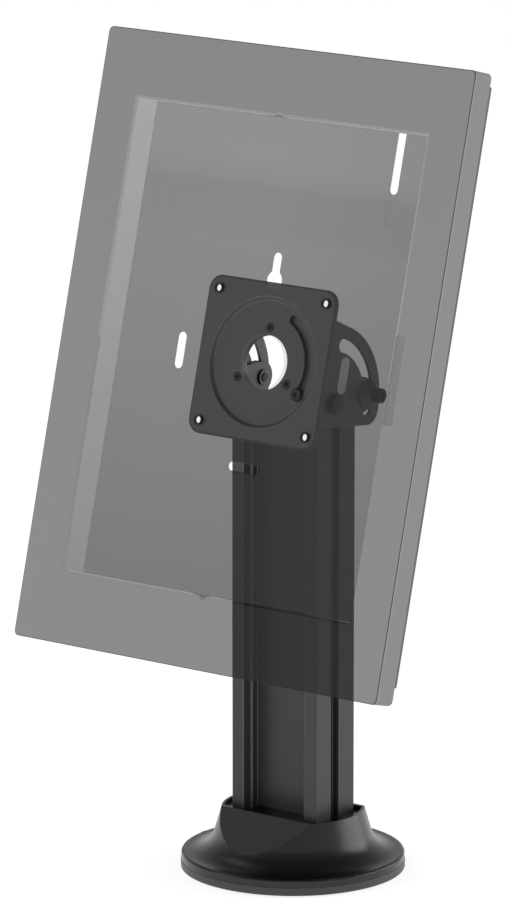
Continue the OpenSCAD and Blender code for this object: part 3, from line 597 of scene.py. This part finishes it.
def tray_plastic(case, look):
    """Rear cover: clearer over the plate, dark along its outer edges, and with a painted reflection
    that makes it darker towards its foot and its right and lighter at the top. Its front isn't
    drawn where the shell lies over it, apart from the strip that shows in the window's notches."""
    skin = CaseFinish("case_tray").measured()
    rim = skin.outside(*case.tray)
    hole = skin.outside(*case.window)

    notched = (abs(skin.across - NOTCH_AT) < NOTCH_HALF) & (hole < NOTCH_DEPTH)
    front = (skin.behind < -FLOOR_INSIDE) & (hole > HAIR) & (rim < -HAIR)
    under_lip = skin.behind < case.lip - SAME_DEPTH
    covered = (1 - notched) * (hole > 0) * (front | under_lip)

    # Painted reflection: darker towards the foot and the right, lighter at the top; and a darker
    # band at the tie bar's height.
    held = (look.case_cover + TRAY_DARKER
            + rising(skin.up, *FOOT_FADE) * FOOT_DARKER
            + rising(skin.across, *RIGHT_FADE) * RIGHT_DARKER
            - rising(skin.up, *TOP_FADE) * TOP_LIGHTER
            + rising(abs(skin.up - TIE_BAR_AT), *TIE_BAR_FADE) * TIE_BAR_DARKER)
    past_plate = skin.outside_round(CLEAR_MIDDLE, CLEAR_HALF, CLEAR_CORNER)
    off_plate = rising(past_plate, -CLEAR_FADE, CLEAR_FADE)
    held = look.plate_veil + off_plate * (held - look.plate_veil)
    wall = (rim > -HAIR) | skin.edge() * (rim > -EDGE_BAND)
    held = held + wall * (look.case_edge - RIM_LIGHTER - held)
    return skin.veiled(look, (1 - covered) * held)


def trim_plastic(name, look, share, roughness=0.42):
    """Small trim of the case, drawn fainter than its walls."""
    skin = CaseFinish(name)
    return skin.veiled(look, share + skin.edge() * TRIM_EDGE_DARKER, roughness)


def ends(points, axis, wall=0.0):
    """Lowest and highest place along an axis, or the next ones that lie a wall further in."""
    places = [point[axis] for point in points]
    low, high = min(places) + wall, max(places) - wall
    first = min(place for place in places if place >= low)
    last = max(place for place in places if place <= high)
    return first, last


def corners(points, wall=0.0):
    """Low and high corner of some points, as (across, up)."""
    return tuple(zip(*(ends(points, axis, wall) for axis in (ACROSS, UP))))


def case_planes():
    """Main planes of the case, as (across, up) corners and depths behind the plate's front."""
    shell, lining, tray = (
        [plate_coords(point.co) for point in frame["nodes"][node].data.vertices]
        for node in ("case_front", "case_liner", "case_back"))
    floor = [point for point in tray if point[BEHIND] > -SAME_DEPTH]
    face, lip = ends(shell, BEHIND)
    return SimpleNamespace(
        outer=corners(shell), window=corners(lining, LINING_WALL), tray=corners(floor),
        face=face, lip=lip)


def bends_into(face, other):
    """Whether two neighbouring faces are steps of one curved wall, not parts of a flat one."""
    return face.normal.angle(other.normal, 0) > CURVED


def softened(node, width):
    """A merged copy of a node with its sharp edges rounded; it replaces the node."""
    source = frame["nodes"][node]
    shape = bmesh.new()
    shape.from_mesh(source.data)
    bmesh.ops.remove_doubles(shape, verts=shape.verts, dist=WELD)
    bmesh.ops.dissolve_limit(
        shape, angle_limit=FLAT, verts=shape.verts, edges=shape.edges,
        use_dissolve_boundaries=False, delimit=set())
    rounding_layer = shape.loops.layers.float_color.new("edge_wear")
    sharp = [edge for edge in shape.edges if edge.is_manifold and edge.calc_face_angle(0) > SHARP]
    rounded = bmesh.ops.bevel(
        shape, geom=sharp, offset=width, offset_type="OFFSET", segments=ROUNDING_STEPS,
        profile=0.5, affect="EDGES", material=-1, clamp_overlap=False, loop_slide=True)
    roundings = set(rounded["faces"])
    # Marks the rounding faces; finishes lighten them as wear and painted highlight and darken them
    # as painted shade.
    for face in shape.faces:
        edge_wear_and_shading = float(face in roundings)
        for corner in face.loops:
            corner[rounding_layer] = (edge_wear_and_shading, edge_wear_and_shading, edge_wear_and_shading, 1)
        face.smooth = face in roundings or any(
            bends_into(face, other) for edge in face.edges for other in edge.link_faces
            if other not in roundings)
    mesh = bpy.data.meshes.new(node + "_skin")
    shape.to_mesh(mesh)
    shape.free()
    piece = bpy.data.objects.new(node + "_skin", mesh)
    bpy.context.scene.collection.objects.link(piece)
    weigh = piece.modifiers.new("even_shading", "WEIGHTED_NORMAL")
    weigh.mode = "FACE_AREA"
    weigh.weight = 100
    weigh.keep_sharp = True
    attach(piece, source["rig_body"])
    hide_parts(node)
    return piece


def drawn_off(piece):
    """Keeps a piece's rearmost face a hair off what it lies on, so that both faces draw cleanly."""
    points = piece.data.vertices
    depths = [plate_coords(point.co)[BEHIND] for point in points]
    rearmost = max(depths) - REAR_SLACK
    for point, depth in zip(points, depths):
        if depth > rearmost:
            point.co -= PLATE_BACK * DRAW_GAP


def dress(piece, material):
    """Gives a piece its finish."""
    piece.data.materials.clear()
    piece.data.materials.append(material)
    return piece


def ghost(piece):
    """A see-through piece casts no shadow, and shows in no reflection and behind no other."""
    piece.visible_shadow = False
    piece.visible_diffuse = False
    piece.visible_glossy = False
    piece.visible_transmission = False


def refinish(node, material):
    """A new finish on a node that keeps its solid."""
    for place in frame["nodes"][node].material_slots:
        place.material = material


def facing(direction):
    """Rotation that points a camera or a light along a direction."""
    return direction.to_track_quat("-Z", "Y").to_euler()


def photo_camera(scene, studio):
    """A camera in the photo's place."""
    aim = Vector(studio.aim)
    level = math.cos(studio.rise)
    away = Vector((
        math.sin(studio.turn) * level, -math.cos(studio.turn) * level, math.sin(studio.rise)))
    lens = bpy.data.cameras.new("photo_camera")
    lens.lens = studio.lens
    lens.sensor_width = SENSOR_WIDTH
    lens.sensor_fit = "AUTO"
    camera = bpy.data.objects.new("photo_camera", lens)
    camera.location = aim + away * studio.distance
    camera.rotation_euler = facing(-away)
    scene.collection.objects.link(camera)
    scene.camera = camera


def pale_table(scene, glow):
    """A wide pale table that gives some light back by itself."""
    shape = bmesh.new()
    bmesh.ops.create_grid(shape, x_segments=4, y_segments=4, size=TABLE_HALF)
    mesh = bpy.data.meshes.new("pale_table")
    shape.to_mesh(mesh)
    shape.free()
    table = bpy.data.objects.new("pale_table", mesh)
    scene.collection.objects.link(table)
    paint = Finish(
        "pale_table", Roughness=0.9, Specular_IOR_Level=0.1,
        Emission_Color=WHITE, Emission_Strength=glow)
    paint.feed(Base_Color=paint.drift(paint.noise(3), WHITE, 0.86, 0.90))
    mesh.materials.append(paint.material)


def soft_room(scene, brightness):
    """Surroundings that are bright at the level and dim overhead."""
    room = bpy.data.worlds.new("soft_room")
    room.use_nodes = True
    scene.world = room
    nodes, links = room.node_tree.nodes, room.node_tree.links
    coords = nodes.new("ShaderNodeTexCoord")
    parts = nodes.new("ShaderNodeSeparateXYZ")
    links.new(coords.outputs["Generated"], parts.inputs["Vector"])
    height = Wire(room.node_tree, parts.outputs["Z"])
    glow = (1 - (height | 0)) ** 2 * (1 - OVERHEAD) + OVERHEAD
    back = nodes["Background"]
    links.new(glow.socket, back.inputs["Color"])
    back.inputs["Strength"].default_value = brightness


def soft_light(scene, name, place, aim, size, power):
    """A broad light at a place, turned to its aim."""
    lamp = bpy.data.lights.new(name, "AREA")
    lamp.shape = "RECTANGLE"
    lamp.size, lamp.size_y = size
    lamp.energy = power
    holder = bpy.data.objects.new(name, lamp)
    holder.location = place
    holder.rotation_euler = facing(Vector(aim) - Vector(place))
    scene.collection.objects.link(holder)


class TABLETSTAND_OT_foot(bpy.types.Operator):
    """Rubber pad and steel disc"""

    bl_idname = "tablet_stand.foot"
    bl_label = "Foot"

    def execute(self, context):
        made, edges = finishes(context.scene), context.scene.tablet_stand_edges
        dress(softened("foot_pad", edges.small), made["foot_rubber"])
        dress(softened("base_plate", edges.sheet), made["powder_coat"])
        return {"FINISHED"}


class TABLETSTAND_OT_cover(bpy.types.Operator):
    """Bell-shaped cover"""

    bl_idname = "tablet_stand.cover"
    bl_label = "Bell cover"

    def execute(self, context):
        made, edges = finishes(context.scene), context.scene.tablet_stand_edges
        dress(softened("base_cover", edges.cover), made["moulded_cover"])
        return {"FINISHED"}


class TABLETSTAND_OT_column(bpy.types.Operator):
    """Slotted column"""

    bl_idname = "tablet_stand.column"
    bl_label = "Column"

    def execute(self, context):
        made, edges = finishes(context.scene), context.scene.tablet_stand_edges
        dress(softened("column", edges.column), made["anodised_extrusion"])
        return {"FINISHED"}


class TABLETSTAND_OT_brackets(bpy.types.Operator):
    """Saddle, yoke, swivel plate and ring"""

    bl_idname = "tablet_stand.brackets"
    bl_label = "Brackets"

    def execute(self, context):
        made, edges = finishes(context.scene), context.scene.tablet_stand_edges
        for node in ("saddle_bracket", "yoke", "vesa_plate", "swivel_ring"):
            dress(softened(node, edges.sheet), made["powder_coat"])
        return {"FINISHED"}


class TABLETSTAND_OT_hardware(bpy.types.Operator):
    """Screws, bolts, nuts and washers"""

    bl_idname = "tablet_stand.hardware"
    bl_label = "Hardware"

    def execute(self, context):
        made, edges = finishes(context.scene), context.scene.tablet_stand_edges
        for node in ("pivot_bolts", "pivot_nuts", "lock_screw_right", "lock_screw_left",
                     "stop_screw", "stop_nut", "swivel_screws", "saddle_screws"):
            dress(softened(node, edges.small), made["black_zinc"])
        for node in ("lock_washers", "lock_nuts"):
            dress(softened(node, edges.small), made["powder_coat"])
        dress(softened("vesa_screws", edges.small), made["bright_zinc"])
        for node in ("cover_screws", "column_screws"):
            refinish(node, made["black_zinc"])
        for node in ("friction_washers", "swivel_washer_front", "swivel_washer_back"):
            refinish(node, made["milky_nylon"])
        return {"FINISHED"}


class TABLETSTAND_OT_case(bpy.types.Operator):
    """See-through tablet case"""

    bl_idname = "tablet_stand.case"
    bl_label = "Tablet case"

    def execute(self, context):
        scene = context.scene
        look, edges = scene.tablet_stand_finishes, scene.tablet_stand_edges
        case = case_planes()
        shell = softened("case_front", edges.case)
        ghost(dress(shell, shell_plastic(case, look)))
        walls = {
            "case_liner": (lining_plastic(case, look), edges.small),
            "case_back": (tray_plastic(case, look), edges.case),
            "tie_bar": (trim_plastic("case_trim", look, share=0.05), edges.small),
        }
        for node, (plastic, edge) in walls.items():
            piece = softened(node, edge)
            drawn_off(piece)
            ghost(dress(piece, plastic))
        faint = trim_plastic("case_fasteners", look, share=0.12, roughness=0.3)
        ghost(dress(softened("case_screws", edges.small), faint))
        refinish("vesa_inserts", finishes(scene)["black_zinc"])
        return {"FINISHED"}


class TABLETSTAND_OT_studio(bpy.types.Operator):
    """Camera, pale table and soft lights"""

    bl_idname = "tablet_stand.studio"
    bl_label = "Studio"

    def execute(self, context):
        scene = context.scene
        studio = scene.tablet_stand_studio
        scene.view_settings.view_transform = "Standard"
        scene.cycles.transparent_max_bounces = CLEAR_BOUNCES
        photo_camera(scene, studio)
        pale_table(scene, studio.floor_glow)
        soft_room(scene, studio.sky)
        for name, (place, aim, size) in LAMPS.items():
            soft_light(scene, name + "_light", place, aim, size, getattr(studio, name))
        return {"FINISHED"}


class TABLETSTAND_PT_panel(bpy.types.Panel):
    """Sizes, colours and steps of the stand"""

    bl_idname = "TABLETSTAND_PT_panel"
    bl_label = "Tablet Stand"
    bl_space_type = "VIEW_3D"
    bl_region_type = "UI"
    bl_category = "Tablet Stand"

    def draw(self, context):
        scene = context.scene
        for name in GROUPS:
            group = getattr(scene, name)
            box = self.layout.box()
            for key in group.__annotations__:
                box.prop(group, key)
        for step in STEPS:
            self.layout.operator(step.bl_idname)


GROUPS = {
    "tablet_stand_finishes": TabletStandFinishes,
    "tablet_stand_edges": TabletStandEdges,
    "tablet_stand_studio": TabletStandStudio,
}
STEPS = (
    TABLETSTAND_OT_foot,
    TABLETSTAND_OT_cover,
    TABLETSTAND_OT_column,
    TABLETSTAND_OT_brackets,
    TABLETSTAND_OT_hardware,
    TABLETSTAND_OT_case,
    TABLETSTAND_OT_studio,
)
CLASSES = (*GROUPS.values(), *STEPS, TABLETSTAND_PT_panel)


def register():
    for cls in CLASSES:
        bpy.utils.register_class(cls)
    for key, group in GROUPS.items():
        setattr(bpy.types.Scene, key, bpy.props.PointerProperty(type=group))


def unregister():
    for key in GROUPS:
        delattr(bpy.types.Scene, key)
    for cls in reversed(CLASSES):
        bpy.utils.unregister_class(cls)


def main():
    """Makes every piece and the studio."""
    register()
    for step in STEPS:
        family, action = step.bl_idname.split(".")
        getattr(getattr(bpy.ops, family), action)()


if __name__ == "__main__":
    main()
